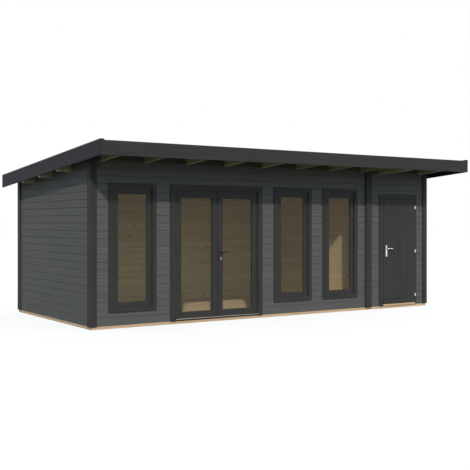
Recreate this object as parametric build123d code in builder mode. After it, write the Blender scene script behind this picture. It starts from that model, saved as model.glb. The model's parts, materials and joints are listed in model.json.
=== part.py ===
from build123d import *
import math
import os

# Garden shed with a single-pitch roof: a main room behind a glazed double door
# and three fixed windows, and a narrow store behind a boarded door.
# Millimetres. X runs along the front from left to right, Y from front to back.
# The origin is the middle of the wall box, on the ground under the middle joist.

# Wall box, outside faces
length = 7076.0
depth = 3176.0
wall = 44.0
base_height = 45.0
base_beam = 70.0
joist_width = 58.0
joist_room = 500.0
floor_board = 19.0
store_room = 1510.0

# Roof: it falls from front to back, and its levels are set at the front wall
roof_fall = 4.3
deck_level = 2703.0
front_overhang = 856.0
back_overhang = 205.0
side_overhang = 244.0
deck_board = 19.0
membrane = 3.0
fascia_board = 20.0
fascia_drop = 208.0
back_fascia_drop = 110.0
kerb_width = 46.0
kerb_height = 20.0
strip_metal = 2.0
strip_cover = 14.0
strip_lap = 36.0
rafter_width = 58.0
rafter_depth = 150.0
purlin_width = 70.0
purlin_depth = 216.0
purlin_count = 3
rafter_count = 10
rafter_ends = [143.0, 202.0]
joint_rafter = 243.0
joint_rafter_depth = 184.0

# Cover boards on the corners and over the ends of the partition
trim_board = 22.0
trim_width = 106.0
cover_board = 40.0
cover_width = 135.0

# Openings: the windows and the double door stand at shares of the main room's length,
# and the store door is measured from the right corner
opening_top = 2188.0
casing_board = 20.0
casing_lap = 48.0
jamb = 45.0
window_shares = [0.125, 0.6847, 0.8787]
window_names = ["left", "middle", "right"]
window_opening = 724.0
window_bottom = 295.0
window_jamb = 27.0
sash_side = 88.0
sash_bottom = 72.0
sash_top = 95.0
sash_board = 40.0
sash_front = 2.0
glass_sheet = 16.0
glass_lap = 12.0
bead_bevel = 8.0

# Glazed double door, opening inwards
pair_share = 0.405
pair_opening = 1692.0
door_board = 44.0
door_front = 3.0
stop_lap = 12.0
edge_gap = 5.0
meeting_gap = 7.0
sill_gap = 6.0
outer_stile = 120.0
meeting_stile = 103.0
top_rail = 132.0
bottom_rail = 90.0
pair_sill_top = 86.0
sill_nose = 34.0
sill_edge = 16.0
sill_fall = 6.0
sill_riser = 8.0
sill_round = 4.0

# Boarded store door, opening outwards
store_margin = 263.0
store_opening = 915.0
store_top = 2117.0
store_jamb_right = 32.0
store_board = 24.0
ledge_board = 20.0
ledge_width = 120.0
store_sill_top = 83.0
weather_board = 16.0
weather_height = 78.0

# Ironwork
lever_height = 1128.0
cylinder_drop = 90.0
plate_width = 36.0
plate_height = 216.0
plate_thick = 8.0
plate_round_share = 0.47
plate_above = 66.0
backset = 55.0
store_backset = 68.0
neck_radius = 8.0
neck_clearance = 0.5
neck_reach = 46.0
lever_reach = 122.0
lever_rise = 7.0
spindle = 8.0
spindle_bore = 7.0
cylinder_radius = 8.5
cylinder_proud = 4.0
pair_hinge_size = [84.0, 26.0]
store_hinge_size = [56.0, 10.0]
hinge_sheet = 2.5
knuckle_radius = 6.0
knuckle_standoff = 7.0
knuckle_gap = 0.4
knuckle_room = 1.0
hinge_pin = 3.0
pin_clearance = 0.3
pair_hinge_levels = [1913.0, 1123.0, 263.0]
store_hinge_levels = [1913.0, 1073.0, 228.0]

# Places worked out from the sizes above
left = -length / 2
right = length / 2
front = -depth / 2
back = depth / 2
slope = math.tan(math.radians(roof_fall))
floor_top = base_height + floor_board
roof_front = front - front_overhang
roof_back = back + back_overhang
roof_left = left - side_overhang
roof_right = right + side_overhang
partition_middle = right - store_room
partition_left = partition_middle - wall / 2
partition_right = partition_middle + wall / 2
main_length = length - store_room
glass_behind = (sash_board - glass_sheet) / 2

os.makedirs("parts", exist_ok=True)


def deck_under(y):
    """Height of the underside of the roof boards at a place in Y."""
    return deck_level - (y - front) * slope


def finish(piece, name):
    """Label a finished piece and write it under its own name."""
    piece.part.label = name
    export_step(piece.part, f"parts/{name}.step")


def slab(x_ends, y_ends, z_ends, mode=Mode.ADD):
    """Straight block between two corners, in the part being built."""
    with BuildSketch(Plane.XY.offset(z_ends[0])) as plan:
        with Locations(((x_ends[0] + x_ends[1]) / 2, (y_ends[0] + y_ends[1]) / 2)):
            Rectangle(x_ends[1] - x_ends[0], y_ends[1] - y_ends[0])
    extrude(plan.sketch, amount=z_ends[1] - z_ends[0], mode=mode)


def ring(x_ends, z_ends, hole_x, hole_z, y_ends):
    """Upright rectangular frame with a rectangular hole, in the part being built."""
    y_start, y_end = y_ends
    with BuildSketch(Plane.XZ.offset(-y_start)) as outline:
        with Locations(((x_ends[0] + x_ends[1]) / 2, (z_ends[0] + z_ends[1]) / 2)):
            Rectangle(x_ends[1] - x_ends[0], z_ends[1] - z_ends[0])
        with Locations(((hole_x[0] + hole_x[1]) / 2, (hole_z[0] + hole_z[1]) / 2)):
            Rectangle(hole_x[1] - hole_x[0], hole_z[1] - hole_z[0], mode=Mode.SUBTRACT)
    extrude(outline.sketch, amount=-(y_end - y_start))


def under_roof(x_ends, y_ends, low, high, mode=Mode.ADD):
    """Board that lies along the roof's fall, between two depths above the deck's underside."""
    y_start, y_end = y_ends
    with BuildSketch(Plane.YZ.offset(x_ends[0])) as profile:
        with BuildLine():
            Polyline(
                (y_start, deck_under(y_start) + low),
                (y_end, deck_under(y_end) + low),
                (y_end, deck_under(y_end) + high),
                (y_start, deck_under(y_start) + high),
                close=True,
            )
        make_face()
    extrude(profile.sketch, amount=x_ends[1] - x_ends[0], mode=mode)


def up_to_roof(x_ends, y_ends, bottom):
    """Upright wall slab whose top follows the roof's fall."""
    y_start, y_end = y_ends
    with BuildSketch(Plane.YZ.offset(x_ends[0])) as profile:
        with BuildLine():
            Polyline(
                (y_start, bottom),
                (y_end, bottom),
                (y_end, deck_under(y_end)),
                (y_start, deck_under(y_start)),
                close=True,
            )
        make_face()
    extrude(profile.sketch, amount=x_ends[1] - x_ends[0])


# Base frame: beams under the walls and joists under the floor
bay = length / 2 - base_beam - joist_width / 2
joist_bays = math.ceil(bay / joist_room)
joist_step = bay / joist_bays
joist_places = [step * joist_step for step in range(1 - joist_bays, joist_bays)]

with BuildPart() as base_frame:
    with BuildSketch():
        Rectangle(length, depth)
        Rectangle(length - 2 * base_beam, depth - 2 * base_beam, mode=Mode.SUBTRACT)
        with Locations([(place, 0) for place in joist_places]):
            Rectangle(joist_width, depth - base_beam)
    extrude(amount=base_height)
finish(base_frame, "base_frame")

# Openings in the front wall, as pairs of X
window_spans = [
    (
        left + share * main_length - window_opening / 2,
        left + share * main_length + window_opening / 2,
    )
    for share in window_shares
]
meeting = left + pair_share * main_length
pair_span = (meeting - pair_opening / 2, meeting + pair_opening / 2)
store_span = (right - store_margin - store_opening, right - store_margin)
front_face = (front, front + wall)

# Floors of the main room and the store; the main one is cut back round the door frame
door_back = front + door_front + door_board
with BuildPart() as main_floor:
    slab((left + wall, partition_left), (front + wall, back - wall), (base_height, floor_top))
    slab(pair_span, (front + wall, door_back), (base_height, floor_top), Mode.SUBTRACT)
finish(main_floor, "main_floor")

with BuildPart() as store_floor:
    slab((partition_right, right - wall), (front + wall, back - wall), (base_height, floor_top))
finish(store_floor, "store_floor")

# Front wall: uprights between the openings, infills under and over them, and the head
opening_spans = sorted(window_spans + [pair_span, store_span])
pier_starts = [left] + [span[1] for span in opening_spans]
pier_ends = [span[0] for span in opening_spans] + [right]

with BuildPart() as front_wall_piers:
    for start, end in zip(pier_starts, pier_ends):
        slab((start, end), front_face, (base_height, opening_top))
finish(front_wall_piers, "front_wall_piers")

with BuildPart() as front_wall_infills:
    for span in window_spans:
        slab(span, front_face, (base_height, window_bottom))
    slab(store_span, front_face, (store_top, opening_top))
finish(front_wall_infills, "front_wall_infills")

rafter_pitch = (length - sum(rafter_ends)) / (rafter_count - 1)
rafters = [
    (left + rafter_ends[0] + step * rafter_pitch, rafter_depth)
    for step in range(rafter_count)
]
rafters.append((partition_middle + joint_rafter, joint_rafter_depth))

with BuildPart() as front_wall_head:
    up_to_roof((left, right), front_face, opening_top)
    for place, drop in rafters:
        under_roof((place, place + rafter_width), front_face, -drop, 0, Mode.SUBTRACT)
finish(front_wall_head, "front_wall_head")

# Purlins run the whole length and rest in slots in the side walls and the partition
purlin_places = [
    front + depth * step / (purlin_count + 1) - purlin_width / 2
    for step in range(1, purlin_count + 1)
]
inner_depth = (front + wall, back - wall)
side_walls = {
    "left_wall": (left, left + wall),
    "right_wall": (right - wall, right),
    "partition_wall": (partition_left, partition_right),
}
for name, x_ends in side_walls.items():
    with BuildPart() as side_wall:
        up_to_roof(x_ends, inner_depth, base_height)
        for place in purlin_places:
            under_roof(x_ends, (place, place + purlin_width), -purlin_depth, 0, Mode.SUBTRACT)
    finish(side_wall, name)

with BuildPart() as back_wall:
    up_to_roof((left, right), (back - wall, back), base_height)
finish(back_wall, "back_wall")

# Corner boards: on each corner a board across the front or back face laps the board
# on the side wall, and both are cut to the roof's fall
trim_leg = trim_width - trim_board
with BuildPart() as corner_trims:
    for x, x_in in ((left, 1), (right, -1)):
        for y, y_in in ((front, 1), (back, -1)):
            with BuildSketch(Plane.XY.offset(base_height)):
                with BuildLine():
                    Polyline(
                        (x, y),
                        (x, y + y_in * trim_width),
                        (x - x_in * trim_board, y + y_in * trim_width),
                        (x - x_in * trim_board, y - y_in * trim_board),
                        (x + x_in * trim_leg, y - y_in * trim_board),
                        (x + x_in * trim_leg, y),
                        close=True,
                    )
                make_face()
            extrude(amount=deck_level)
    under_roof((roof_left, roof_right), (roof_front, roof_back), 0, deck_level, Mode.SUBTRACT)
finish(corner_trims, "corner_trims")

# Cover boards where the partition meets the front and back walls
cover_ends = (partition_middle - cover_width / 2, partition_middle + cover_width / 2)
with BuildPart() as partition_cover_front:
    up_to_roof(cover_ends, (front - cover_board, front), base_height)
finish(partition_cover_front, "partition_cover_front")

with BuildPart() as partition_cover_back:
    up_to_roof(cover_ends, (back, back + cover_board), base_height)
finish(partition_cover_back, "partition_cover_back")

# Fixed windows: casing on the wall, jambs in the opening, sash round a sealed pane
sash_y = (front + sash_front, front + sash_front + sash_board)
pane_y = (sash_y[0] + glass_behind, sash_y[0] + glass_behind + glass_sheet)
window_z = (window_bottom, opening_top)
clear_z = (window_bottom + window_jamb, opening_top - window_jamb)
sight_z = (clear_z[0] + sash_bottom, clear_z[1] - sash_top)
pane_z = (sight_z[0] - glass_lap, sight_z[1] + glass_lap)


def window_sight(span):
    """Left and right edge of the glass that shows in one window opening."""
    inset = window_jamb + sash_side
    return (span[0] + inset, span[1] - inset)


for name, span in zip(window_names, window_spans):
    clear_x = (span[0] + window_jamb, span[1] - window_jamb)
    sight_x = window_sight(span)
    pane_x = (sight_x[0] - glass_lap, sight_x[1] + glass_lap)
    with BuildPart() as window_frame:
        ring(
            (span[0] - casing_lap, span[1] + casing_lap),
            (window_bottom - casing_lap, opening_top + casing_lap),
            clear_x,
            clear_z,
            (front - casing_board, front),
        )
        ring(span, window_z, clear_x, clear_z, front_face)
        ring(clear_x, clear_z, sight_x, sight_z, sash_y)
        slab(pane_x, pane_y, pane_z, Mode.SUBTRACT)
        chamfer(
            window_frame.edges().filter_by_position(Axis.Y, sash_y[0], sash_y[0])
            .filter_by_position(Axis.X, *sight_x)
            .filter_by_position(Axis.Z, *sight_z),
            length=bead_bevel,
        )
    finish(window_frame, f"window_frame_{name}")

with BuildPart() as window_panes:
    for span in window_spans:
        sight_x = window_sight(span)
        slab((sight_x[0] - glass_lap, sight_x[1] + glass_lap), pane_y, pane_z)
finish(window_panes, "window_panes")

# Frame of the double door: casing, jambs and head, with a stop in front of the leaves
pair_clear = (pair_span[0] + jamb, pair_span[1] - jamb)
pair_clear_top = opening_top - jamb
leaf_y = (front + door_front, door_back)
stop_back = leaf_y[0] - edge_gap
with BuildPart() as pair_frame:
    slab(
        (pair_span[0] - casing_lap, pair_span[1] + casing_lap),
        (front - casing_board, front),
        (base_height, opening_top + casing_lap),
    )
    slab(pair_span, (front, leaf_y[1]), (base_height, opening_top))
    slab(
        pair_clear,
        (front - casing_board, leaf_y[1]),
        (base_height, pair_clear_top),
        Mode.SUBTRACT,
    )
    slab(
        (pair_clear[0] - stop_lap, pair_clear[1] + stop_lap),
        (stop_back, leaf_y[1]),
        (base_height, pair_clear_top + stop_lap),
        Mode.SUBTRACT,
    )
finish(pair_frame, "double_door_frame")

# Sills of both doorways: a metal section with an overhanging nose under the glazed
# door, and a plain threshold under the store door
store_clear = (store_span[0] + jamb, store_span[1] - store_jamb_right)
store_clear_top = store_top - jamb
store_face = front - casing_board
store_board_y = (store_face, store_face + store_board)
store_leaf_y = (store_face, store_face + store_board + ledge_board)

with BuildPart() as door_sills:
    with BuildSketch(Plane.YZ.offset(pair_clear[0])) as nosing:
        with BuildLine():
            Polyline(
                (front - sill_riser, base_height),
                (door_back, base_height),
                (door_back, pair_sill_top),
                (front, pair_sill_top),
                (front - sill_nose, pair_sill_top - sill_fall),
                (front - sill_nose, pair_sill_top - sill_edge),
                (front - sill_riser, pair_sill_top - sill_edge),
                close=True,
            )
        make_face()
        fillet(nosing.vertices().group_by(Axis.X)[0], radius=sill_round)
    extrude(nosing.sketch, amount=pair_clear[1] - pair_clear[0])
    with BuildSketch(Plane.YZ.offset(store_clear[0])) as threshold:
        with BuildLine():
            Polyline(
                (store_face, base_height),
                (front + wall, base_height),
                (front + wall, store_sill_top),
                (store_face, store_sill_top),
                close=True,
            )
        make_face()
        fillet(
            threshold.vertices().group_by(Axis.X)[0].sort_by(Axis.Y)[-1], radius=sill_round
        )
    extrude(threshold.sketch, amount=store_clear[1] - store_clear[0])
finish(door_sills, "door_sills")

# Leaves of the double door: stiles and rails round a sealed pane
leaf_bottom = pair_sill_top + sill_gap
leaf_top = pair_clear_top + stop_lap - edge_gap
lock_x = meeting + meeting_gap / 2 + backset
pair_leaves = {
    "left": (
        (pair_clear[0] - stop_lap + edge_gap, meeting - meeting_gap / 2),
        (outer_stile, meeting_stile),
    ),
    "right": (
        (meeting + meeting_gap / 2, pair_clear[1] + stop_lap - edge_gap),
        (meeting_stile, outer_stile),
    ),
}
leaf_pane_y = (
    leaf_y[0] + (door_board - glass_sheet) / 2,
    leaf_y[1] - (door_board - glass_sheet) / 2,
)


def drill(x, z, y_ends, radius):
    """Round hole through a leaf from front to back."""
    with BuildSketch(Plane.XZ.offset(-y_ends[0])) as outline:
        with Locations((x, z)):
            Circle(radius)
    extrude(outline.sketch, amount=-(y_ends[1] - y_ends[0]), mode=Mode.SUBTRACT)


for name, (x_ends, (stile_left, stile_right)) in pair_leaves.items():
    sight_x = (x_ends[0] + stile_left, x_ends[1] - stile_right)
    sight_z = (leaf_bottom + bottom_rail, leaf_top - top_rail)
    pane_x = (sight_x[0] - glass_lap, sight_x[1] + glass_lap)
    pane_z = (sight_z[0] - glass_lap, sight_z[1] + glass_lap)
    with BuildPart() as leaf:
        ring(x_ends, (leaf_bottom, leaf_top), sight_x, sight_z, leaf_y)
        slab(pane_x, leaf_pane_y, pane_z, Mode.SUBTRACT)
        for face_y in leaf_y:
            chamfer(
                leaf.edges().filter_by_position(Axis.Y, face_y, face_y)
                .filter_by_position(Axis.X, *sight_x)
                .filter_by_position(Axis.Z, *sight_z),
                length=bead_bevel,
            )
        if name == "right":
            drill(lock_x, lever_height, leaf_y, spindle_bore)
            drill(lock_x, lever_height - cylinder_drop, leaf_y, cylinder_radius)
    finish(leaf, f"double_door_leaf_{name}")
    with BuildPart() as leaf_pane:
        slab(pane_x, leaf_pane_y, pane_z)
    finish(leaf_pane, f"double_door_pane_{name}")

# Frame of the store door: casing on the left and over the head, a plain jamb on the right
store_stop = store_board_y[1] + edge_gap
with BuildPart() as store_frame:
    slab(
        (store_span[0] - casing_lap, store_span[1]),
        (store_face, front),
        (base_height, store_top + casing_lap),
    )
    slab(store_span, front_face, (base_height, store_top))
    slab(store_clear, (store_face, store_stop), (base_height, store_clear_top), Mode.SUBTRACT)
    slab(
        (store_clear[0] + stop_lap, store_clear[1] - stop_lap),
        (store_stop, front + wall),
        (base_height, store_clear_top - stop_lap),
        Mode.SUBTRACT,
    )
    slab(store_clear, (store_stop, front + wall), (base_height, store_sill_top), Mode.SUBTRACT)
finish(store_frame, "store_door_frame")

# Store door leaf: boards on a back frame of stiles and ledges, with a weather board
# at the foot
store_leaf_x = (store_clear[0] + edge_gap, store_clear[1] - edge_gap)
store_leaf_z = (store_sill_top + sill_gap, store_clear_top - edge_gap)
frame_inset = stop_lap + edge_gap
ledge_x = (store_leaf_x[0] + frame_inset, store_leaf_x[1] - frame_inset)
ledge_z = (store_leaf_z[0], store_leaf_z[1] - frame_inset)
ledge_y = (store_board_y[1], store_leaf_y[1])
panel_x = (ledge_x[0] + ledge_width, ledge_x[1] - ledge_width)
ledge_middle = (ledge_z[0] + ledge_z[1]) / 2
store_lock_x = store_leaf_x[0] + store_backset
with BuildPart() as store_leaf:
    slab(store_leaf_x, store_board_y, store_leaf_z)
    slab(ledge_x, ledge_y, ledge_z)
    slab(
        panel_x,
        ledge_y,
        (ledge_z[0] + ledge_width, ledge_middle - ledge_width / 2),
        Mode.SUBTRACT,
    )
    slab(
        panel_x,
        ledge_y,
        (ledge_middle + ledge_width / 2, ledge_z[1] - ledge_width),
        Mode.SUBTRACT,
    )
    with BuildSketch(Plane.YZ.offset(store_leaf_x[0])) as weather_profile:
        with BuildLine():
            Polyline(
                (store_face, store_leaf_z[0]),
                (store_face, store_leaf_z[0] + weather_height),
                (store_face - weather_board / 4, store_leaf_z[0] + weather_height),
                (store_face - weather_board, store_leaf_z[0] + weather_board),
                (store_face - weather_board, store_leaf_z[0]),
                close=True,
            )
        make_face()
    extrude(weather_profile.sketch, amount=store_leaf_x[1] - store_leaf_x[0])
    drill(store_lock_x, lever_height, store_leaf_y, spindle_bore)
    drill(store_lock_x, lever_height - cylinder_drop, store_leaf_y, cylinder_radius)
finish(store_leaf, "store_door_leaf")


# Lever handles: a plate on each face joined by the lock cylinder, and a lever on each
# end of a square spindle
def handle_plates(x, face_y):
    """Two plates and the cylinder between them, in the part being built."""
    middle = lever_height + plate_above - plate_height / 2
    for start, outward in ((face_y[0], 1), (face_y[1], -1)):
        with BuildSketch(Plane.XZ.offset(-start)) as outline:
            with Locations((x, middle)):
                RectangleRounded(plate_width, plate_height, plate_width * plate_round_share)
            with Locations((x, lever_height)):
                Circle(neck_radius + neck_clearance, mode=Mode.SUBTRACT)
        extrude(outline.sketch, amount=outward * plate_thick)
    with BuildSketch(Plane.XZ.offset(-(face_y[0] - plate_thick - cylinder_proud))) as core:
        with Locations((x, lever_height - cylinder_drop)):
            Circle(cylinder_radius - neck_clearance)
    extrude(core.sketch, amount=-(face_y[1] - face_y[0] + 2 * (plate_thick + cylinder_proud)))


def lever_pair(x, face_y):
    """Spindle with a necked lever at each end, in the part being built."""
    spindle_y = (face_y[0] - neck_clearance, face_y[1] + neck_clearance)
    with BuildSketch(Plane.XZ.offset(-spindle_y[0])) as square:
        with Locations((x, lever_height)):
            Rectangle(spindle, spindle)
    extrude(square.sketch, amount=-(spindle_y[1] - spindle_y[0]))
    for start, outward in ((spindle_y[0], -1), (spindle_y[1], 1)):
        tip = start + outward * (plate_thick + neck_reach)
        with BuildLine() as path:
            FilletPolyline(
                (x, start, lever_height),
                (x, tip, lever_height),
                (x + lever_reach / 2, tip, lever_height + lever_rise),
                (x + lever_reach, tip, lever_height),
                radius=2 * neck_radius,
            )
        with BuildSketch(Plane(origin=path.line @ 0, z_dir=path.line % 0)) as section:
            Circle(neck_radius)
        sweep(section.sketch, path=path.line)


leaf_faces = {
    "double_door": (lock_x, leaf_y),
    "store_door": (store_lock_x, store_leaf_y),
}
for name, (x, face_y) in leaf_faces.items():
    with BuildPart() as plates:
        handle_plates(x, face_y)
    finish(plates, f"{name}_handle_plates")
    with BuildPart() as lever:
        lever_pair(x, face_y)
    finish(lever, f"{name}_lever")


# Butt hinges: five knuckles on one pin, three of them on the frame's plate
def hinge_half(size, pin_x, pin_y, level, plate_side, face_y, knuckles, bored):
    """One plate and its knuckles, in the part being built."""
    height, plate = size
    knuckle = height / 5
    low = level - height / 2
    plate_x = sorted((pin_x, pin_x + plate_side * (plate + knuckle_radius)))
    sheet_y = sorted((face_y, face_y + math.copysign(hinge_sheet, pin_y - face_y)))
    for place in knuckles:
        z_start = low + place * knuckle + knuckle_gap / 2
        z_end = low + (place + 1) * knuckle - knuckle_gap / 2
        slab(plate_x, sheet_y, (z_start, z_end))
        with BuildSketch(Plane.XY.offset(z_start)) as barrel:
            with Locations((pin_x, pin_y)):
                Circle(knuckle_radius)
        extrude(barrel.sketch, amount=z_end - z_start)
    outer_x = sorted(
        (
            pin_x + plate_side * (knuckle_radius + knuckle_room),
            pin_x + plate_side * (plate + knuckle_radius),
        )
    )
    slab(outer_x, sheet_y, (low, low + height))
    pin_radius = hinge_pin + pin_clearance if bored else hinge_pin
    with BuildSketch(Plane.XY.offset(low)) as pin:
        with Locations((pin_x, pin_y)):
            Circle(pin_radius)
    extrude(pin.sketch, amount=height, mode=Mode.SUBTRACT if bored else Mode.ADD)


pair_pin_left = (pair_clear[0] - stop_lap + edge_gap / 2, leaf_y[1] + knuckle_standoff)
pair_pin_right = (pair_clear[1] + stop_lap - edge_gap / 2, leaf_y[1] + knuckle_standoff)
store_pin = (store_clear[1] - edge_gap / 2, store_face - knuckle_standoff)
pair_pins = {"left": (pair_pin_left, 1), "right": (pair_pin_right, -1)}
frame_knuckles = (0, 2, 4)
leaf_knuckles = (1, 3)

with BuildPart() as pair_frame_halves:
    for (pin_x, pin_y), leaf_side in pair_pins.values():
        for level in pair_hinge_levels:
            hinge_half(
                pair_hinge_size,
                pin_x,
                pin_y,
                level,
                -leaf_side,
                leaf_y[1],
                frame_knuckles,
                False,
            )
finish(pair_frame_halves, "double_door_hinges_on_frame")

for name, ((pin_x, pin_y), leaf_side) in pair_pins.items():
    with BuildPart() as pair_leaf_halves:
        for level in pair_hinge_levels:
            hinge_half(
                pair_hinge_size,
                pin_x,
                pin_y,
                level,
                leaf_side,
                leaf_y[1],
                leaf_knuckles,
                True,
            )
    finish(pair_leaf_halves, f"double_door_hinges_on_leaf_{name}")

with BuildPart() as store_frame_halves:
    for level in store_hinge_levels:
        hinge_half(store_hinge_size, *store_pin, level, 1, store_face, frame_knuckles, False)
finish(store_frame_halves, "store_door_hinges_on_frame")

with BuildPart() as store_leaf_halves:
    for level in store_hinge_levels:
        hinge_half(store_hinge_size, *store_pin, level, -1, store_face, leaf_knuckles, True)
finish(store_leaf_halves, "store_door_hinges_on_leaf")

# Roof timbers: rafters carry the front overhang, purlins the rest
with BuildPart() as front_rafters:
    for place, drop in rafters:
        under_roof(
            (place, place + rafter_width),
            (roof_front + fascia_board, purlin_places[0]),
            -drop,
            0,
        )
finish(front_rafters, "front_rafters")

with BuildPart() as roof_purlins:
    for place in purlin_places:
        under_roof(
            (roof_left + fascia_board, roof_right - fascia_board),
            (place, place + purlin_width),
            -purlin_depth,
            0,
        )
finish(roof_purlins, "roof_purlins")

# Roof boards, the sheet over them and the kerbs along both sides
inner_x = (roof_left + fascia_board, roof_right - fascia_board)
inner_y = (roof_front + fascia_board, roof_back - fascia_board)
roof_y = (roof_front, roof_back)
sheet_x = (inner_x[0] + kerb_width, inner_x[1] - kerb_width)
kerb_top = deck_board + kerb_height
with BuildPart() as roof_deck:
    under_roof(inner_x, inner_y, 0, deck_board)
finish(roof_deck, "roof_deck")

with BuildPart() as roof_sheet:
    under_roof(sheet_x, roof_y, deck_board, deck_board + membrane)
finish(roof_sheet, "roof_sheet")

with BuildPart() as roof_kerbs:
    for x_ends in ((inner_x[0], sheet_x[0]), (sheet_x[1], inner_x[1])):
        under_roof(x_ends, roof_y, deck_board, kerb_top)
finish(roof_kerbs, "roof_kerbs")

# Fascia boards round the roof
fascias = {
    "fascia_front": (inner_x, (roof_front, inner_y[0]), fascia_drop, deck_board),
    "fascia_back": (inner_x, (inner_y[1], roof_back), back_fascia_drop, deck_board),
    "fascia_left": ((roof_left, inner_x[0]), roof_y, fascia_drop, kerb_top),
    "fascia_right": ((inner_x[1], roof_right), roof_y, fascia_drop, kerb_top),
}
for name, (x_ends, y_ends, drop, top) in fascias.items():
    with BuildPart() as fascia:
        under_roof(x_ends, y_ends, deck_board - drop, top)
    finish(fascia, name)

# Metal strips: angles on the front and back edges, caps over the kerbs
edge_top = deck_board + membrane
leg_low = edge_top + strip_metal - strip_cover
with BuildPart() as roof_edge_strips:
    for outer, inward in ((roof_front, 1), (roof_back, -1)):
        flange = sorted((outer - inward * strip_metal, outer + inward * strip_lap))
        leg = sorted((outer - inward * strip_metal, outer))
        under_roof(sheet_x, flange, edge_top, edge_top + strip_metal)
        under_roof(sheet_x, leg, leg_low, edge_top + strip_metal)
    for outer, inner in ((roof_left, sheet_x[0]), (roof_right, sheet_x[1])):
        outside = outer - math.copysign(strip_metal, inner - outer)
        cap = sorted((outside, inner))
        leg = sorted((outside, outer))
        under_roof(cap, roof_y, kerb_top, kerb_top + strip_metal)
        under_roof(leg, roof_y, kerb_top + strip_metal - strip_cover, kerb_top + strip_metal)
finish(roof_edge_strips, "roof_edge_strips")
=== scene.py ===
import json
import math
import random

import bmesh
import bpy
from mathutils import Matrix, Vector


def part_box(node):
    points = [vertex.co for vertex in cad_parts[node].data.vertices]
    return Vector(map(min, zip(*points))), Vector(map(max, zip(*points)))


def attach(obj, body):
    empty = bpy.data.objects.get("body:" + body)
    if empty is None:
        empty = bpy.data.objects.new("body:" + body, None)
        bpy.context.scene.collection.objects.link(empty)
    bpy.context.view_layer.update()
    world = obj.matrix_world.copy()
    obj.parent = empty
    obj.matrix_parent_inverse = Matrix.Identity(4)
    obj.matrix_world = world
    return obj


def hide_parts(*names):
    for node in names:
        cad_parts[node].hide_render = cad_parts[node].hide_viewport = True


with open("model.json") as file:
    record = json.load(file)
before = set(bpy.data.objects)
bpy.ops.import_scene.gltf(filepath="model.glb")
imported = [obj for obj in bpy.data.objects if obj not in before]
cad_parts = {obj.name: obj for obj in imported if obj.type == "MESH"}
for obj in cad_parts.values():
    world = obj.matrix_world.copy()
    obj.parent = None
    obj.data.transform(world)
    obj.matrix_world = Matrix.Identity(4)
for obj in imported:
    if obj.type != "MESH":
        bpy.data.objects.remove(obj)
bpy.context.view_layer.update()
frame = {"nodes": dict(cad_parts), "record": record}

# Sizes shared with the CAD model, in metres. The walls' outer faces stand at RIGHT and -RIGHT,
# FRONT and BACK
RIGHT = 3.538
FRONT = -1.588
BACK = 1.588
BOARD = 0.12
FIRST_JOINT = 0.0545
FLOOR_BOARD = 0.112
ROOF_FALL = math.radians(4.3)
DECK_LEVEL = 2.703
PARTITION = RIGHT - 1.51
BASE_BEAM = 0.07
TRIM_BOARD = 0.022
TRIM_WIDTH = 0.106
COVER_BOARD = 0.04
CASING_BOARD = 0.02
CASING = 0.048
WINDOW_JAMB = 0.027
DOOR_JAMB = 0.045
STORE_RIGHT_JAMB = 0.032
SASH_SIDE = 0.088
SASH_BOTTOM = 0.072
SASH_TOP = 0.095
GLASS_LAP = 0.012
BEAD = 0.008
STORE_BOARDS = 9
STORE_BOARD_BACK = FRONT + 0.004
STORE_LEDGE_INSET = 0.137
WEATHER_BOARD = 0.078
SILL_NOSE_UNDERSIDE = 0.0695
HINGE_SHEET = 0.0025
PAIR_LEAF_FACE = FRONT + 0.047
PAIR_HINGE_LEVELS = (0.263, 1.123, 1.913)
STORE_HINGE_LEVELS = (0.228, 1.073, 1.913)
CYLINDER_HEIGHT = 1.038
CYLINDER_RADIUS = 0.0085
CYLINDER_TAIL = 0.02
CYLINDER_PROUD = 0.004
PLATE_SCREWS = (0.995, 1.178)

# Camera, sun and sky, as fitted to the photograph. The sky's light falls off upwards and to
# the left, its tint is given at both sides, and the floor is lifted to the sky's white
CAMERA_PLACE = (-8.825, -13.494, 1.621)
CAMERA_TURN = math.radians(-33.512)
CAMERA_LENS = 65.38
CAMERA_SHIFT = -0.0262
SUN_WAY = Vector((0.81, 1.335, -1.0))
SUN_STRENGTH = 2.02
SUN_COLOUR = (1.0, 0.95, 0.88)
SKY_LOW = 1.62
SKY_HIGH = 0.5
SKY_LEFT = 0.45
SKY_RIGHT = 1.35
SKY_TINT_LEFT = (0.74, 0.95, 1.25, 1.0)
SKY_TINT_RIGHT = (0.88, 0.95, 1.0, 1.0)
WHITE = (1.0, 1.0, 1.0, 1.0)
FLOOR_LIFT = 0.73

# How far the edges of timbers are rounded
FINE_ARRIS = 0.0015
JOINERY_ARRIS = 0.002
FASCIA_ARRIS = 0.002
TRIM_ARRIS = 0.0025
BASE_ARRIS = 0.003
ROOF_ARRIS = 0.004

# How close two places must be to count as one, and how squarely a face must look somewhere
TOUCH = 1e-4
SAME = 1e-5
SQUARE = 0.95

X = Vector((1.0, 0.0, 0.0))
Y = Vector((0.0, 1.0, 0.0))
Z = Vector((0.0, 0.0, 1.0))
FALL = Vector((0.0, math.cos(ROOF_FALL), -math.sin(ROOF_FALL)))
ROOF_UP = Vector((0.0, math.sin(ROOF_FALL), math.cos(ROOF_FALL)))


# Camera, at the photograph's angle
def make_camera():
    data = bpy.data.cameras.new("camera")
    data.sensor_width = 36.0
    data.lens = CAMERA_LENS
    data.shift_y = CAMERA_SHIFT
    data.clip_end = 300.0
    camera = bpy.data.objects.new("camera", data)
    camera.location = CAMERA_PLACE
    camera.rotation_euler = (math.radians(90.0), 0.0, CAMERA_TURN)
    bpy.context.scene.collection.objects.link(camera)
    bpy.context.scene.camera = camera


# Materials
def colour(code):
    """A colour written as six hexadecimal digits, as Blender's linear RGBA."""
    parts = [int(code[place : place + 2], 16) / 255.0 for place in (0, 2, 4)]
    linear = [c / 12.92 if c <= 0.04045 else ((c + 0.055) / 1.055) ** 2.4 for c in parts]
    return (*linear, 1.0)


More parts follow.
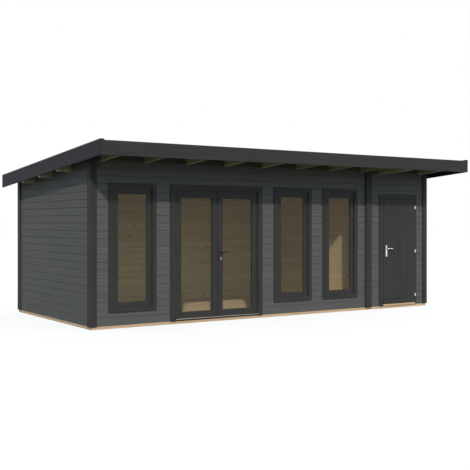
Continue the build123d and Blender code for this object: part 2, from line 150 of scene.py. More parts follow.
def add_node(tree, kind, inputs, **settings):
    """A shader node with its inputs set to values or linked to other nodes' outputs."""
    made = tree.nodes.new("ShaderNode" + kind)
    for key, value in settings.items():
        setattr(made, key, value)
    for key, value in inputs.items():
        if isinstance(value, bpy.types.NodeSocket):
            tree.links.new(value, made.inputs[key])
        else:
            made.inputs[key].default_value = value
    return made


def seen_by_eye(tree):
    """One where the eye looks, also by way of a mirror or through glass, and else nought."""
    rays = add_node(tree, "LightPath", {}).outputs
    seen = rays["Is Camera Ray"]
    for kind in ("Is Glossy Ray", "Is Transmission Ray"):
        seen = add_node(tree, "Math", {0: seen, 1: rays[kind]}, operation="MAXIMUM").outputs[0]
    return seen


class Finish:
    """A material being made: a Principled surface and the nodes that feed it."""

    def __init__(self, name, specular=0.3, metallic=0.0):
        self.material = bpy.data.materials.new(name)
        self.material.use_nodes = True
        self.tree = self.material.node_tree
        self.surface = self.tree.nodes["Principled BSDF"]
        self.surface.inputs["Specular IOR Level"].default_value = specular
        self.surface.inputs["Metallic"].default_value = metallic

    def node(self, kind, inputs, **settings):
        return add_node(self.tree, kind, inputs, **settings)

    def attribute(self, name, output):
        return self.node("Attribute", {}, attribute_name=name).outputs[output]

    def position(self):
        return self.node("TexCoord", {}).outputs["Object"]

    def noise(self, vector, stretch, detail=4.0, distortion=0.0):
        """Cloudy noise, with stretch the number of its features per metre along each axis."""
        mapped = self.node("Mapping", {"Vector": vector, "Scale": stretch})
        inputs = {
            "Vector": mapped.outputs["Vector"],
            "Scale": 1.0,
            "Detail": detail,
            "Distortion": distortion,
        }
        return self.node("TexNoise", inputs).outputs["Fac"]

    def spots(self, vector, stretch):
        """The distance to the nearest of many scattered points, so many per metre."""
        mapped = self.node("Mapping", {"Vector": vector, "Scale": stretch})
        inputs = {"Vector": mapped.outputs["Vector"], "Scale": 1.0}
        return self.node("TexVoronoi", inputs).outputs["Distance"]

    def math(self, operation, first, second):
        return self.node("Math", {0: first, 1: second}, operation=operation).outputs[0]

    def blend(self, *parts):
        """The sum of several patterns, each with its share."""
        total = None
        for pattern, share in parts:
            weighted = self.math("MULTIPLY", pattern, share)
            total = weighted if total is None else self.math("ADD", total, weighted)
        return total

    def ramp(self, factor, stops):
        made = self.node("ValToRGB", {"Fac": factor})
        elements = made.color_ramp.elements
        while len(elements) < len(stops):
            elements.new(0.5)
        for element, (place, shade) in zip(elements, stops):
            element.position = place
            element.color = shade
        return made.outputs["Color"]

    def spread(self, factor, low, high):
        inputs = {"Value": factor, "To Min": low, "To Max": high}
        return self.node("MapRange", inputs).outputs["Result"]

    def mix(self, factor, first, second):
        inputs = {0: factor, 6: first, 7: second}
        return self.node("Mix", inputs, data_type="RGBA").outputs[2]

    def paint(self, shade, rough, height=None, depth=0.0005, strength=0.5):
        self.tree.links.new(shade, self.surface.inputs["Base Color"])
        self.tree.links.new(rough, self.surface.inputs["Roughness"])
        if height is not None:
            inputs = {"Height": height, "Strength": strength, "Distance": depth}
            bump = self.node("Bump", inputs).outputs["Normal"]
            self.tree.links.new(bump, self.surface.inputs["Normal"])
        return self.material


def timber(
    name, dark, pale, rough=(0.55, 0.8), relief=0.0006, knots=None, specular=0.2, variety=0.07
):
    """Wood with long growth streaks, fine fibres and, where given, knots of another colour.

    Relief is the depth of its bumps, and variety is how far the boards differ in tone.
    """
    finish = Finish(name, specular=specular)
    grain = finish.attribute("grain", "Vector")
    tone = finish.attribute("tone", "Fac")
    streaks = finish.noise(grain, (1.1, 38.0, 38.0), detail=5.0, distortion=0.6)
    fibres = finish.noise(grain, (14.0, 520.0, 520.0), detail=2.0)
    patches = finish.noise(grain, (0.8, 5.0, 5.0), detail=2.0)
    figure = finish.blend((streaks, 0.62), (fibres, 0.16), (patches, 0.22))
    figure = finish.math("ADD", figure, finish.spread(tone, -variety, variety))
    shade = finish.ramp(figure, [(0.32, colour(dark)), (0.68, colour(pale))])
    if knots:
        distance = finish.spots(grain, (3.0, 8.0, 8.0))
        core = 0.05
        rim = 0.13
        fade = {"Value": distance, "From Min": core, "From Max": rim, "To Min": 1.0, "To Max": 0.0}
        spot = finish.node("MapRange", fade).outputs["Result"]
        shade = finish.mix(spot, shade, colour(knots))
    height = finish.math("ADD", streaks, finish.math("MULTIPLY", fibres, 0.6))
    return finish.paint(shade, finish.spread(figure, *rough), height, depth=relief)


def coated_metal(name, dark, pale, rough, metallic):
    """Painted or coated metal with faint unevenness in colour and gloss."""
    finish = Finish(name, specular=0.5, metallic=metallic)
    place = finish.position()
    cloud = finish.noise(place, (9.0, 9.0, 9.0))
    peel = finish.noise(place, (700.0, 700.0, 700.0), detail=2.0)
    shade = finish.ramp(cloud, [(0.3, colour(dark)), (0.7, colour(pale))])
    return finish.paint(shade, finish.spread(cloud, *rough), peel, depth=0.0001, strength=0.25)


def brushed_metal(name, dark, pale, rough, stretch):
    """Bare metal with fine brush lines."""
    finish = Finish(name, specular=0.5, metallic=1.0)
    place = finish.position()
    lines = finish.noise(place, stretch)
    smudges = finish.noise(place, (14.0, 14.0, 14.0), detail=3.0)
    figure = finish.blend((lines, 0.6), (smudges, 0.4))
    shade = finish.ramp(figure, [(0.3, colour(dark)), (0.7, colour(pale))])
    return finish.paint(shade, finish.spread(figure, *rough), lines, depth=0.0001, strength=0.3)


def rubber(name, dark, pale):
    """Matt rubber with a fine tooth."""
    finish = Finish(name, specular=0.25)
    place = finish.position()
    cloud = finish.noise(place, (1.6, 1.6, 1.6), detail=5.0)
    tooth = finish.noise(place, (420.0, 420.0, 420.0), detail=2.0)
    shade = finish.ramp(cloud, [(0.35, colour(dark)), (0.7, colour(pale))])
    return finish.paint(shade, finish.spread(cloud, 0.78, 0.84), tooth, depth=0.0003)


def window_glass(name):
    """Clear glass with a weak, warm mirror and a trace of dust.

    It mirrors a little everywhere, and more where it is seen at a slant.
    """
    everywhere = 0.011
    at_slant = 0.6
    finish = Finish(name)
    tree = finish.tree
    tree.nodes.remove(finish.surface)
    facing = finish.node("LayerWeight", {"Blend": 0.5}).outputs["Facing"]
    slant = finish.math("MULTIPLY", finish.math("POWER", facing, 5.0), at_slant)
    mirror = finish.math("ADD", slant, everywhere)
    dust = finish.noise(finish.position(), (3.0, 3.0, 3.0), detail=5.0)
    haze = finish.spread(dust, 0.01, 0.05)
    clear = finish.node("BsdfTransparent", {"Color": (0.976, 0.976, 0.97, 1.0)})
    gloss = finish.node("BsdfGlossy", {"Color": (0.97, 0.95, 0.75, 1.0), "Roughness": haze})
    both = finish.node("MixShader", {0: mirror, 1: clear.outputs[0], 2: gloss.outputs[0]})
    tree.links.new(both.outputs[0], tree.nodes["Material Output"].inputs["Surface"])
    return finish.material


def floor_surface():
    """Pale floor that reads white to the eye where the light falls on it, and keeps shadows.

    The light that it throws back on the building is dim and warm, as from open ground.
    """
    finish = Finish("studio_floor", specular=0.0)
    seen = seen_by_eye(finish.tree)
    mottle = finish.noise(finish.position(), (0.7, 0.7, 0.7))
    pale = finish.ramp(mottle, [(0.2, colour("979797")), (0.8, colour("9B9B9B"))])
    open_ground = (0.095, 0.08, 0.045, 1.0)
    shade = finish.mix(seen, open_ground, pale)
    finish.tree.links.new(shade, finish.surface.inputs["Base Color"])
    finish.surface.inputs["Roughness"].default_value = 0.9
    finish.surface.inputs["Emission Color"].default_value = WHITE
    lift = finish.math("MULTIPLY", seen, FLOOR_LIFT)
    finish.tree.links.new(lift, finish.surface.inputs["Emission Strength"])
    return finish.material


MATERIALS = {
    "wall_stain": timber("wall_stain", "545452", "60605C", specular=0.1, variety=0.045),
    "trim_stain": timber("trim_stain", "323231", "3E3E3B", specular=0.1),
    # A darker copy of the trim stain, as painted shade on the fascias that look to the sides
    "shaded_side_stain": timber("shaded_side_stain", "292A2C", "333437", specular=0.1),
    "joinery_paint": timber(
        "joinery_paint", "30302E", "393937", (0.45, 0.6), 0.0003, specular=0.12
    ),
    "bare_spruce": timber("bare_spruce", "C2A97D", "DAC295", knots="7C5C3C"),
    "floor_spruce": timber("floor_spruce", "CBB28E", "E5CEAA", knots="8A6B4A"),
    "treated_beam": timber("treated_beam", "BC9872", "DDBF9B", relief=0.001),
    "roof_timber": timber("roof_timber", "999E7D", "BABE9B", relief=0.001),
    "deck_boards": timber("deck_boards", "7A6D52", "96876A"),
    "roof_sheet": rubber("roof_sheet_rubber", "1A1A1B", "222224"),
    "seal_rubber": rubber("seal_rubber", "0E0E0F", "1A1A1B"),
    "edge_metal": coated_metal("edge_coating", "222426", "303234", (0.35, 0.55), 0.2),
    "black_iron": coated_metal("black_coating", "0E0E0F", "1C1C1D", (0.3, 0.5), 0.3),
    "sill_metal": brushed_metal(
        "sill_aluminium", "99958E", "BFBBB3", (0.35, 0.55), (2.0, 300.0, 300.0)
    ),
    "steel": brushed_metal("satin_steel", "D0D0CE", "F2F2F0", (0.18, 0.34), (300.0, 300.0, 12.0)),
    "screw": coated_metal("screw_coating", "3A3A38", "55554F", (0.4, 0.6), 0.7),
    "spacer": brushed_metal(
        "spacer_aluminium", "6A6C6E", "8A8C8E", (0.4, 0.6), (40.0, 40.0, 40.0)
    ),
    "glass": window_glass("clear_glass"),
}


# Mesh work
def solid_of(node):
    """The node's mesh as one closed surface, with each flat face in one piece."""
    bm = bmesh.new()
    bm.from_mesh(frame["nodes"][node].data)
    bmesh.ops.remove_doubles(bm, verts=bm.verts, dist=SAME)
    flat = math.radians(0.5)
    bmesh.ops.dissolve_limit(bm, angle_limit=flat, verts=bm.verts, edges=bm.edges)
    return bm


def round_arrises(bm, width):
    """Round every outer edge a little, as a plane and sandpaper leave it."""
    least = math.radians(40.0)
    sharp = [
        edge
        for edge in bm.edges
        if edge.is_manifold and edge.is_convex and edge.calc_face_angle(0.0) > least
    ]
    bmesh.ops.bevel(bm, geom=sharp, offset=width, segments=2, profile=0.5, affect="EDGES")


def groove(half, depth):
    """Section of a plain V groove, as pairs of a shift from its middle and a depth."""
    return ((-half, 0.0), (0.0, depth), (half, 0.0))


# Section of the joint between two wall boards: eased edges and the gap between them
BOARD_JOINT = ((-0.0055, 0.0), (-0.0012, 0.0045), (0.0, 0.011), (0.0012, 0.0045), (0.0055, 0.0))


def score(bm, across, place, outs, section, inside=None):
    """Cut a groove along a plane into the faces that look in the directions of outs."""
    for shift, _ in section:
        geometry = [*bm.verts, *bm.edges, *bm.faces]
        bmesh.ops.bisect_plane(
            bm, geom=geometry, dist=1e-6, plane_co=across * (place + shift), plane_no=across
        )
    bm.normal_update()
    moves = []
    for out in outs:
        level = {vert for face in bm.faces if face.normal.dot(out) > SQUARE for vert in face.verts}
        for shift, depth in section:
            moves += [
                (vert, out * depth)
                for vert in level
                if abs(vert.co.dot(across) - place - shift) < SAME
                and (inside is None or inside(vert.co))
            ]
    for vert, move in moves:
        vert.co -= move
    bm.normal_update()


def mark_grain(bm, name, member):
    """Give each timber its own run of grain, along its length, and its own tone."""
    grain = bm.loops.layers.float_vector.new("grain")
    tone = bm.loops.layers.float.new("tone")
    order = {"X": (0, 1, 2), "Y": (1, 0, 2), "Z": (2, 0, 1)}
    for face in bm.faces:
        key, along = member(face.calc_center_median())
        dice = random.Random(f"{name} {key}")
        shift = Vector((dice.uniform(0.0, 40.0), dice.uniform(0.0, 4.0), dice.uniform(0.0, 4.0)))
        shade = dice.random()
        axes = order[along]
        for loop in face.loops:
            co = loop.vert.co
            loop[grain] = shift + Vector((co[axes[0]], co[axes[1]], co[axes[2]]))
            loop[tone] = shade


def piece(name, bm, body, slot, materials, *replaced):
    """Turn a mesh under construction into a piece that rides on a body."""
    mesh = bpy.data.meshes.new(name)
    bm.to_mesh(mesh)
    bm.free()
    for material in materials:
        mesh.materials.append(MATERIALS[material])
    made = bpy.data.objects.new(name, mesh)
    bpy.context.scene.collection.objects.link(made)
    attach(made, body)
    if replaced:
        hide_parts(*replaced)


def add_box(bm, low, high):
    """A closed box between two corners, added to a mesh."""
    made = bmesh.ops.create_cube(bm, size=1.0)
    for vert in made["verts"]:
        vert.co = Vector([low[i] if vert.co[i] < 0 else high[i] for i in range(3)])


def add_ring(bm, low, high, width):
    """An upright frame of four mitred strips between two corners, added to a mesh."""
    loops = []
    for y in (low[1], high[1]):
        for inset in (0.0, width):
            corners = (
                (low[0] + inset, low[2] + inset),
                (high[0] - inset, low[2] + inset),
                (high[0] - inset, high[2] - inset),
                (low[0] + inset, high[2] - inset),
            )
            loops.append([bm.verts.new((x, y, z)) for x, z in corners])
    front_outer, front_inner, back_outer, back_inner = loops
    for step in range(4):
        after = (step + 1) % 4
        for one, two in (
            (front_outer, front_inner),
            (front_inner, back_inner),
            (back_inner, back_outer),
            (back_outer, front_outer),
        ):
            bm.faces.new((one[step], one[after], two[after], two[step]))
    bmesh.ops.recalc_face_normals(bm, faces=bm.faces)


# Walls and floors
def board_row(co):
    """The number of the wall board that a point lies in, from the lowest."""
    return math.floor((co.z - FIRST_JOINT) / BOARD)


def score_boards(bm, out):
    """Cut the joints between wall boards into both faces of a wall."""
    top = max(vert.co.z for vert in bm.verts)
    rows = int((top - FIRST_JOINT) / BOARD)
    for row in range(1, rows + 1):
        score(bm, Z, FIRST_JOINT + row * BOARD, (out, -out), BOARD_JOINT)


def board_wall(node, along, outside):
    """A wall slab cut into level boards: stained outside and bare on the room's side."""
    bm = solid_of(node)
    score_boards(bm, outside)
    mark_grain(bm, node, lambda co: (board_row(co), along))
    for face in bm.faces:
        face.material_index = 1 if face.normal.dot(outside) < -0.5 else 0
    piece(node + "_boards", bm, "building", "wall_timber", ["wall_stain", "bare_spruce"], node)


def board_partition():
    """The wall between the rooms, bare boards on both sides."""
    bm = solid_of("partition_wall")
    score_boards(bm, X)
    mark_grain(bm, "partition", lambda co: (board_row(co), "Y"))
    piece("partition_boards", bm, "building", "partition_timber", ["bare_spruce"], "partition_wall")


def board_floor(node):
    """Floor boards along the building, with fine open joints."""
    bm = solid_of(node)
    low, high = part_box(node)
    count = int((high.y - low.y) / FLOOR_BOARD)
    seam = groove(half=0.0012, depth=0.0015)
    for row in range(1, count + 1):
        score(bm, Y, low.y + row * FLOOR_BOARD, (Z,), seam)
    mark_grain(bm, node, lambda co: (math.floor((co.y - low.y) / FLOOR_BOARD), "X"))
    piece(node + "_boards", bm, "building", "floor_timber", ["floor_spruce"], node)


def board_deck():
    """Roof boards along the building, with V joints that show under the overhangs."""
    bm = solid_of("roof_deck")
    lows = [vert.co.dot(FALL) for vert in bm.verts]
    start = min(lows)
    count = int((max(lows) - start) / FLOOR_BOARD)
    seam = groove(half=0.005, depth=0.0035)
    for row in range(1, count + 1):
        score(bm, FALL, start + row * FLOOR_BOARD, (-ROOF_UP,), seam)
    mark_grain(
        bm, "deck", lambda co: (math.floor((co.dot(FALL) - start) / FLOOR_BOARD), "X")
    )
    piece("roof_deck_boards", bm, "building", "deck_timber", ["deck_boards"], "roof_deck")


# Plain timbers, which keep their CAD shape and get rounded edges and a grain
def dress(node, slot, material, arris, member):
    bm = solid_of(node)
    round_arrises(bm, arris)
    mark_grain(bm, node, member)
    piece(node + "_timber", bm, "building", slot, [material], node)


def dress_base():
    """The base beams, with a fine line where the end beams butt against the long ones."""

    def member(co):
        if abs(co.y) > BACK - BASE_BEAM:
            return "front" if co.y < 0 else "back", "X"
        return round(co.x, 1), "Y"

    bm = solid_of("base_frame")
    seam = groove(half=0.0008, depth=0.0008)
    for side in (-1, 1):
        score(bm, Y, side * (BACK - BASE_BEAM), (Z,), seam)
    round_arrises(bm, BASE_ARRIS)
    for vert in bm.verts:
        vert.co.z = max(vert.co.z, 0.0)
    mark_grain(bm, "base", member)
    piece("base_beams", bm, "building", "base_timber", ["treated_beam"], "base_frame")


def dress_corner_trims():
    """The corner boards, with a fine line where a front board laps a side board."""
    bm = solid_of("corner_trims")
    round_arrises(bm, TRIM_ARRIS)
    seam = groove(half=0.0008, depth=0.001)
    for end in (FRONT, BACK):
        score(bm, Y, end, (X, -X), seam, lambda co: abs(co.x) > RIGHT + 0.01)

    def member(co):
        return (co.x > 0, co.y > 0, abs(co.y) > BACK), "Z"

    mark_grain(bm, "trims", member)
    piece("corner_trim_boards", bm, "building", "trim_timber", ["trim_stain"], "corner_trims")


# Window and door joinery. A ring is the inner edge of a frame: its left, right, bottom and
# top. A doorway's frame has no bottom rail, so its ring starts below the ground
BELOW_GROUND = -1.0


def ring_members(rings):
    """Names the stile or rail that a point of nested frames belongs to, from their inner edges."""

    def member(co):
        for place, (x_low, x_high, z_low, z_high) in enumerate(rings):
            if co.x < x_low + TOUCH:
                return (place, "left"), "Z"
            if co.x > x_high - TOUCH:
                return (place, "right"), "Z"
            if co.z < z_low + TOUCH:
                return (place, "bottom"), "X"
            if co.z > z_high - TOUCH:
                return (place, "top"), "X"
        return "inner", "Z"

    return member


def joint_lines(bm, outer, rings):
    """Score the joints where each frame's rails meet its stiles, on both sides."""
    seam = groove(half=0.0007, depth=0.0008)
    for x_low, x_high, z_low, z_high in rings:
        limits = outer

        def inside(co):
            in_x = limits[0] - TOUCH < co.x < limits[1] + TOUCH
            low_rail = limits[2] - TOUCH < co.z < z_low + TOUCH
            high_rail = z_high - TOUCH < co.z < limits[3] + TOUCH
            return in_x and (low_rail or high_rail)

        for place in (x_low, x_high):
            score(bm, X, place, (Y, -Y), seam, inside)
        outer = (x_low, x_high, z_low, z_high)


def dress_joinery(node, rings, body="building"):
    """A painted frame or leaf, with the joints of its stiles and rails."""
    low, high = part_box(node)
    bm = solid_of(node)
    round_arrises(bm, JOINERY_ARRIS)
    joint_lines(bm, (low.x, high.x, low.z, high.z), rings)
    mark_grain(bm, node, ring_members(rings))
    piece(node + "_joinery", bm, body, "joinery_timber", ["joinery_paint"], node)


def dress_window(name):
    node = "window_frame_" + name
    low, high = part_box(node)
    side = CASING + WINDOW_JAMB
    casing = (low.x + side, high.x - side, low.z + side, high.z - side)
    sash = (
        casing[0] + SASH_SIDE - BEAD,
        casing[1] - SASH_SIDE + BEAD,
        casing[2] + SASH_BOTTOM - BEAD,
        casing[3] - SASH_TOP + BEAD,
    )
    dress_joinery(node, [casing, sash])


def dress_double_door():
    low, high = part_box("double_door_frame")
    side = CASING + DOOR_JAMB
    clear = (low.x + side, high.x - side, BELOW_GROUND, high.z - side)
    dress_joinery("double_door_frame", [clear])
    for name in ("left", "right"):
        pane_low, pane_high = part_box("double_door_pane_" + name)
        inset = GLASS_LAP - BEAD
        sight = (pane_low.x + inset, pane_high.x - inset, pane_low.z + inset, pane_high.z - inset)
        dress_joinery("double_door_leaf_" + name, [sight], name + "_leaf")


def dress_store_door():
    low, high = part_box("store_door_frame")
    side = CASING + DOOR_JAMB
    clear = (low.x + side, high.x - STORE_RIGHT_JAMB, BELOW_GROUND, high.z - side)
    dress_joinery("store_door_frame", [clear])
    dress_store_leaf()


def dress_store_leaf():
    """Upright boards outside over ledges inside, with a weather board along the foot."""
    low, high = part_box("store_door_leaf")
    pitch = (high.x - low.x) / STORE_BOARDS
    weather_top = low.z + WEATHER_BOARD

    def member(co):
        if co.y < STORE_BOARD_BACK + TOUCH:
            return math.floor((co.x - low.x) / pitch), "Z"
        if low.x + STORE_LEDGE_INSET < co.x < high.x - STORE_LEDGE_INSET:
            return round(co.z), "X"
        return co.x > (low.x + high.x) / 2, "Z"

    def above_weather_board(co):
        return co.z > weather_top + 0.001

    bm = solid_of("store_door_leaf")
    round_arrises(bm, FINE_ARRIS)
    seam = groove(half=0.003, depth=0.0025)
    for row in range(1, STORE_BOARDS):
        score(bm, X, low.x + row * pitch, (-Y,), seam, above_weather_board)
    score(bm, Z, weather_top + 0.005, (-Y,), groove(half=0.0045, depth=0.007))
    mark_grain(bm, "store_leaf", member)
    name = "store_door_leaf_boards"
    piece(name, bm, "store_leaf", "joinery_timber", ["joinery_paint"], "store_door_leaf")


# Sills: a metal nosing over a riser in dark joinery paint under the glazed door, the dark paint
# being painted shade for the shadow under the nose, and a timber threshold under the store door
def dress_sills():
    between = PARTITION - 0.5
    nosed = ["sill_metal", "joinery_paint"]
    for name, slot, finishes, wanted in (
        ("double_door_sill", "sill_metal", nosed, lambda co: co.x < between),
        ("store_door_threshold", "base_timber", ["treated_beam"], lambda co: co.x > between),
    ):
        bm = solid_of("door_sills")
        other = [face for face in bm.faces if not wanted(face.calc_center_median())]
        bmesh.ops.delete(bm, geom=other, context="FACES")
        round_arrises(bm, FINE_ARRIS)
        mark_grain(bm, name, lambda co: (0, "X"))
        for face in bm.faces:
            # Faces below and under the nose take the dark joinery paint as painted shade, for the
            # nose's shadow on the riser
            below_nose = face.calc_center_median().z < SILL_NOSE_UNDERSIDE
            underside = face.normal.z < -0.9
            painted_shade = finishes is nosed and (below_nose or underside)
            face.material_index = 1 if painted_shade else 0
        piece(name, bm, "building", slot, finishes, "door_sills")


# Glazing: two sheets with a spacer between them, and a rubber seal on both faces
def glaze(name, body, panes, edge, *nodes):
    sheets = bmesh.new()
    spacers = bmesh.new()
    seals = bmesh.new()
    sheet = 0.004
    spacer_inset = 0.001
    seal_lap = GLASS_LAP - 0.0005
    seal_width = 0.002
    seal_proud = 0.0016
    for low, high in panes:
        add_box(sheets, low, (high[0], low[1] + sheet, high[2]))
        add_box(sheets, (low[0], high[1] - sheet, low[2]), high)
        add_ring(
            spacers,
            (low[0] + spacer_inset, low[1] + sheet, low[2] + spacer_inset),
            (high[0] - spacer_inset, high[1] - sheet, high[2] - spacer_inset),
            GLASS_LAP - 2 * spacer_inset,
        )
        for y_low, y_high in ((low[1] - seal_proud, low[1]), (high[1], high[1] + seal_proud)):
            add_ring(
                seals,
                (low[0] + seal_lap, y_low, low[2] + seal_lap),
                (high[0] - seal_lap, y_high, high[2] - seal_lap),
                seal_width,
            )
    piece(name + "_glass", sheets, body, "glass", ["glass"], *nodes)
    piece(name + "_spacers", spacers, body, "edge_metal", [edge])
    piece(name + "_seals", seals, body, "roof_sheet", ["seal_rubber"])


def glaze_all():
    low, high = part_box("window_panes")
    panes = []
    for name in ("left", "middle", "right"):
        frame_low, frame_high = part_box("window_frame_" + name)
        inset = CASING + WINDOW_JAMB + SASH_SIDE - GLASS_LAP
        panes.append(
            ((frame_low.x + inset, low.y, low.z), (frame_high.x - inset, high.y, high.z))
        )
    glaze("window", "building", panes, "spacer", "window_panes")
    for name in ("left", "right"):
        node = "double_door_pane_" + name
        low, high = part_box(node)
        panes = [(tuple(low), tuple(high))]
        glaze("double_door_" + name, name + "_leaf", panes, "seal_rubber", node)


# Screws: a low domed head with a six-pointed recess. Its rings are given by their radius and
# rise as shares of the head's radius, and every other point of the recess is drawn in
SCREW_RINGS = ((1.0, -0.1), (0.86, 0.22), (0.46, 0.3), (0.34, -0.1))
RECESS = 0.5
RECESS_WAIST = 0.72

# Distances of screws from the edges and ends of their boards
TRIM_INSET = 0.022
COVER_INSET = 0.045
CASING_INSET = CASING / 2
CASING_END = 0.03
DOOR_FOOT = 0.05
FASCIA_END = 0.15


def add_screw(bm, place, out, radius):
    turn = out.to_track_quat("Z", "Y")
    segments = 12
    rings = []
    for share, rise in SCREW_RINGS:
        ring = []
        for step in range(segments):
            angle = 2.0 * math.pi * step / segments
            reach = share * radius
            if share < RECESS and step % 2:
                reach *= RECESS_WAIST
            spot = Vector((math.cos(angle) * reach, math.sin(angle) * reach, rise * radius))
            ring.append(bm.verts.new(place + turn @ spot))
        rings.append(ring)
    for outer, inner in zip(rings, rings[1:]):
        for step in range(segments):
            after = (step + 1) % segments
            bm.faces.new((outer[step], outer[after], inner[after], inner[step]))
    bm.faces.new(rings[-1])


def screws(name, body, spots, radius, material="screw", slot="edge_metal"):
    bm = bmesh.new()
    for place, out in spots:
        add_screw(bm, Vector(place), out, radius)
    piece(name, bm, body, slot, [material])


def spaced(low, high, count):
    """Places spread evenly from one to the other."""
    return [low + (high - low) * step / (count - 1) for step in range(count)]


def trim_screws():
    spots = []
    edge = RIGHT + TRIM_BOARD
    for z in spaced(0.14, 2.34, 8):
        for side in (-1, 1):
            for x in (edge - TRIM_WIDTH + TRIM_INSET, edge - TRIM_INSET):
                spots.append(((side * x, FRONT - TRIM_BOARD, z), -Y))
                spots.append(((side * x, BACK + TRIM_BOARD, z), Y))
            for y in (BACK - TRIM_WIDTH + TRIM_INSET, BACK - TRIM_INSET):
                for end in (-1, 1):
                    spots.append(((side * edge, end * y, z), side * X))
        for x in (PARTITION - COVER_INSET, PARTITION + COVER_INSET):
            spots.append(((x, FRONT - COVER_BOARD, z), -Y))
            spots.append(((x, BACK + COVER_BOARD, z), Y))
    screws("trim_screws", "building", spots, radius=0.0042)


def casing_screws():
    spots = []
    face = FRONT - CASING_BOARD
    for name in ("left", "middle", "right"):
        low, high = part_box("window_frame_" + name)
        for z in spaced(low.z + CASING_END, high.z - CASING_END, 6):
            spots.append(((low.x + CASING_INSET, face, z), -Y))
            spots.append(((high.x - CASING_INSET, face, z), -Y))
        middle = (low.x + high.x) / 2
        spots.append(((middle, face, low.z + CASING_INSET), -Y))
        spots.append(((middle, face, high.z - CASING_INSET), -Y))
    low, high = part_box("double_door_frame")
    for z in spaced(low.z + DOOR_FOOT, high.z - CASING_END, 6):
        spots.append(((low.x + CASING_INSET, face, z), -Y))
        spots.append(((high.x - CASING_INSET, face, z), -Y))
    for x in spaced(low.x + 0.35, high.x - 0.35, 3):
        spots.append(((x, face, high.z - CASING_INSET), -Y))
    low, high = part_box("store_door_frame")
    for z in spaced(low.z + DOOR_FOOT, high.z - CASING_END, 6):
        spots.append(((low.x + CASING_INSET, face, z), -Y))
    for x in spaced(low.x + 0.3, high.x - 0.2, 3):
        spots.append(((x, face, high.z - CASING_INSET), -Y))
    screws("casing_screws", "building", spots, radius=0.004)


def fascia_screws():
    spots = []
    for node, out in (("fascia_front", -Y), ("fascia_back", Y)):
        low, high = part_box(node)
        face = low.y if out.y < 0 else high.y
        for x in spaced(low.x + FASCIA_END, high.x - FASCIA_END, 12):
            for z in (low.z + 0.03, high.z - 0.05):
                spots.append(((x, face, z), out))
    for node, out in (("fascia_left", -X), ("fascia_right", X)):
        low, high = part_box(node)
        face = low.x if out.x < 0 else high.x
        for y in spaced(low.y + FASCIA_END, high.y - FASCIA_END, 8):
            deck = DECK_LEVEL - (y - FRONT) * math.tan(ROOF_FALL)
            for rise in (-0.15, -0.03):
                spots.append(((face, y, deck + rise), out))
    screws("fascia_screws", "building", spots, radius=0.0045)


# Ironwork: screws of the hinges and handle plates, and the lock cylinders
def hinge_screws():
    pins = {joint["name"]: joint["pos_m"] for joint in frame["record"]["behaviour"]["joints"]}
    spots = {"building": [], "left_leaf": [], "right_leaf": [], "store_leaf": []}
    face = PAIR_LEAF_FACE + HINGE_SHEET
    from_pin = 0.021
    for leaf, side in (("left_leaf", 1), ("right_leaf", -1)):
        pin = pins[leaf + "_swing"][0]
        for level in PAIR_HINGE_LEVELS:
            for rise in (-0.028, 0.0, 0.028):
                spots[leaf].append(((pin + side * from_pin, face, level + rise), Y))
                spots["building"].append(((pin - side * from_pin, face, level + rise), Y))
    pin = pins["store_leaf_swing"][0]
    face = FRONT - CASING_BOARD - HINGE_SHEET
    from_pin = 0.0115
    for level in STORE_HINGE_LEVELS:
        for rise in (-0.018, 0.018):
            spots["store_leaf"].append(((pin - from_pin, face, level + rise), -Y))
            spots["building"].append(((pin + from_pin, face, level + rise), -Y))
    for body, places in spots.items():
        screws(body + "_hinge_screws", body, places, 0.0026, "steel", "steel")


def add_outline(bm, outline, y_low, y_high):
    """A closed block whose outline in X and Z runs from one depth to another."""
    loops = [[bm.verts.new((x, y, z)) for x, z in outline] for y in (y_low, y_high)]
    for step in range(len(outline)):
        after = (step + 1) % len(outline)
        bm.faces.new((loops[0][step], loops[0][after], loops[1][after], loops[1][step]))
    bm.faces.new(loops[0][::-1])
    bm.faces.new(loops[1])
    bmesh.ops.recalc_face_normals(bm, faces=bm.faces)


def cylinder_outline(x):
    """Outline of a profile cylinder: a round core over a narrower round-ended tail."""
    points = []
    neck = -54.0
    core_steps = 16
    core_sweep = 180.0 - 2 * neck
    for step in range(core_steps + 1):
        angle = math.radians(neck + step * core_sweep / core_steps)
        aside = CYLINDER_RADIUS * math.cos(angle)
        points.append((x + aside, CYLINDER_HEIGHT + CYLINDER_RADIUS * math.sin(angle)))
    tail = CYLINDER_RADIUS * math.cos(math.radians(neck))
    tail_height = CYLINDER_HEIGHT - CYLINDER_TAIL
    tail_steps = 8
    for step in range(tail_steps + 1):
        angle = math.radians(180.0 + step * 180.0 / tail_steps)
        points.append((x + tail * math.cos(angle), tail_height + tail * math.sin(angle)))
    return points


def keyhole_outline(x):
    """Outline of the slot for a key, upright in the round core."""
    half = 0.0009
    wide = 1.6 * half
    rise = 0.0045
    low = CYLINDER_HEIGHT - rise
    high = CYLINDER_HEIGHT + rise
    return [(x - half, low), (x + half, low), (x + wide, high), (x - wide, high)]


def dress_locks():
    for door, body in (("double_door", "right_leaf"), ("store_door", "store_leaf")):
        low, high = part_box(door + "_handle_plates")
        x = (low.x + high.x) / 2
        cylinders = bmesh.new()
        slots = bmesh.new()
        spots = []
        for tip, side, out in ((low.y, -1, -Y), (high.y, 1, Y)):
            plate = tip - side * CYLINDER_PROUD
            sunk = plate - side * 0.001
            face = tip + side * 0.0002
            key_face = tip + side * 0.0004
            add_outline(cylinders, cylinder_outline(x), sunk, face)
            add_outline(slots, keyhole_outline(x), tip, key_face)
            spots += [((x, plate, z), out) for z in PLATE_SCREWS]
        piece(door + "_cylinders", cylinders, body, "steel", ["steel"])
        piece(door + "_keyholes", slots, body, "black_iron", ["black_iron"])
        screws(door + "_plate_screws", body, spots, 0.0036, "steel", "steel")


# Scene: floor and light
def make_stage():
    bpy.ops.mesh.primitive_circle_add(vertices=96, radius=70.0, fill_type="NGON")
    floor = bpy.context.object
    floor.name = "studio_floor"
    floor.data.materials.append(floor_surface())


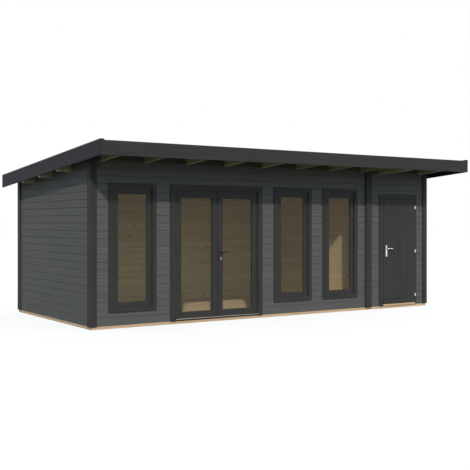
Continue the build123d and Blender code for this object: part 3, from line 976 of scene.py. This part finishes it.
def make_sun():
    data = bpy.data.lights.new("key", "SUN")
    data.energy = SUN_STRENGTH
    data.angle = math.radians(2.0)
    data.color = SUN_COLOUR
    sun = bpy.data.objects.new("key", data)
    sun.rotation_euler = SUN_WAY.to_track_quat("-Z", "Y").to_euler()
    bpy.context.scene.collection.objects.link(sun)


def make_sky():
    """Plain white to the eye, and an uneven, faintly blue light on the building."""
    world = bpy.data.worlds.new("studio")
    world.use_nodes = True
    tree = world.node_tree

    def output(kind, inputs, place=0, **settings):
        return add_node(tree, kind, inputs, **settings).outputs[place]

    seen = seen_by_eye(tree)
    direction = output("TexCoord", {}, "Generated")
    parts = add_node(tree, "SeparateXYZ", {0: direction}).outputs
    up = output("MapRange", {"Value": parts["Z"], "To Min": SKY_LOW, "To Max": SKY_HIGH})
    across = output("MapRange", {"Value": parts["X"], "From Min": -1.0})
    side = output("MapRange", {"Value": across, "To Min": SKY_LEFT, "To Max": SKY_RIGHT})
    level = output("Math", {0: up, 1: side}, operation="MULTIPLY")
    level = output("Mix", {0: seen, 2: level, 3: 1.0}, data_type="FLOAT")
    tint = output("Mix", {0: across, 6: SKY_TINT_LEFT, 7: SKY_TINT_RIGHT}, 2, data_type="RGBA")
    tint = output("Mix", {0: seen, 6: tint, 7: WHITE}, 2, data_type="RGBA")
    background = tree.nodes["Background"]
    tree.links.new(level, background.inputs["Strength"])
    tree.links.new(tint, background.inputs["Color"])
    bpy.context.scene.world = world
    bpy.context.scene.view_settings.view_transform = "Standard"


make_camera()
make_stage()
make_sun()
make_sky()

for wall_node in ("front_wall_piers", "front_wall_infills", "front_wall_head"):
    board_wall(wall_node, "X", -Y)
board_wall("back_wall", "X", Y)
board_wall("left_wall", "Y", -X)
board_wall("right_wall", "Y", X)
board_partition()
board_floor("main_floor")
board_floor("store_floor")
board_deck()
dress_base()
dress_corner_trims()
for cover in ("partition_cover_front", "partition_cover_back"):
    dress(cover, "trim_timber", "trim_stain", TRIM_ARRIS, lambda co: ("cover", "Z"))
dress("front_rafters", "roof_timber", "roof_timber", ROOF_ARRIS, lambda co: (round(co.x, 1), "Y"))
dress("roof_purlins", "roof_timber", "roof_timber", ROOF_ARRIS, lambda co: (round(co.y, 1), "X"))
dress("roof_kerbs", "deck_timber", "trim_stain", FASCIA_ARRIS, lambda co: (co.x > 0, "Y"))
for end in ("front", "back"):
    dress("fascia_" + end, "trim_timber", "trim_stain", FASCIA_ARRIS, lambda co: ("board", "X"))
# The side fascias take the darker copy of the trim stain, as painted shade
for end in ("left", "right"):
    dress("fascia_" + end, "trim_timber", "shaded_side_stain", FASCIA_ARRIS, lambda co: ("board", "Y"))
for window in ("left", "middle", "right"):
    dress_window(window)
dress_double_door()
dress_store_door()
dress_sills()
glaze_all()
trim_screws()
casing_screws()
fascia_screws()
hinge_screws()
dress_locks()

# Ironwork and roof pieces that keep their CAD mesh
CAD_FINISHES = {
    "double_door_handle_plates": "black_iron",
    "double_door_lever": "black_iron",
    "double_door_hinges_on_frame": "steel",
    "double_door_hinges_on_leaf_left": "steel",
    "double_door_hinges_on_leaf_right": "steel",
    "store_door_handle_plates": "steel",
    "store_door_lever": "steel",
    "store_door_hinges_on_frame": "steel",
    "store_door_hinges_on_leaf": "steel",
    "roof_sheet": "roof_sheet",
    "roof_edge_strips": "edge_metal",
}
for cad_node, finish_name in CAD_FINISHES.items():
    for material_slot in frame["nodes"][cad_node].material_slots:
        material_slot.material = MATERIALS[finish_name]
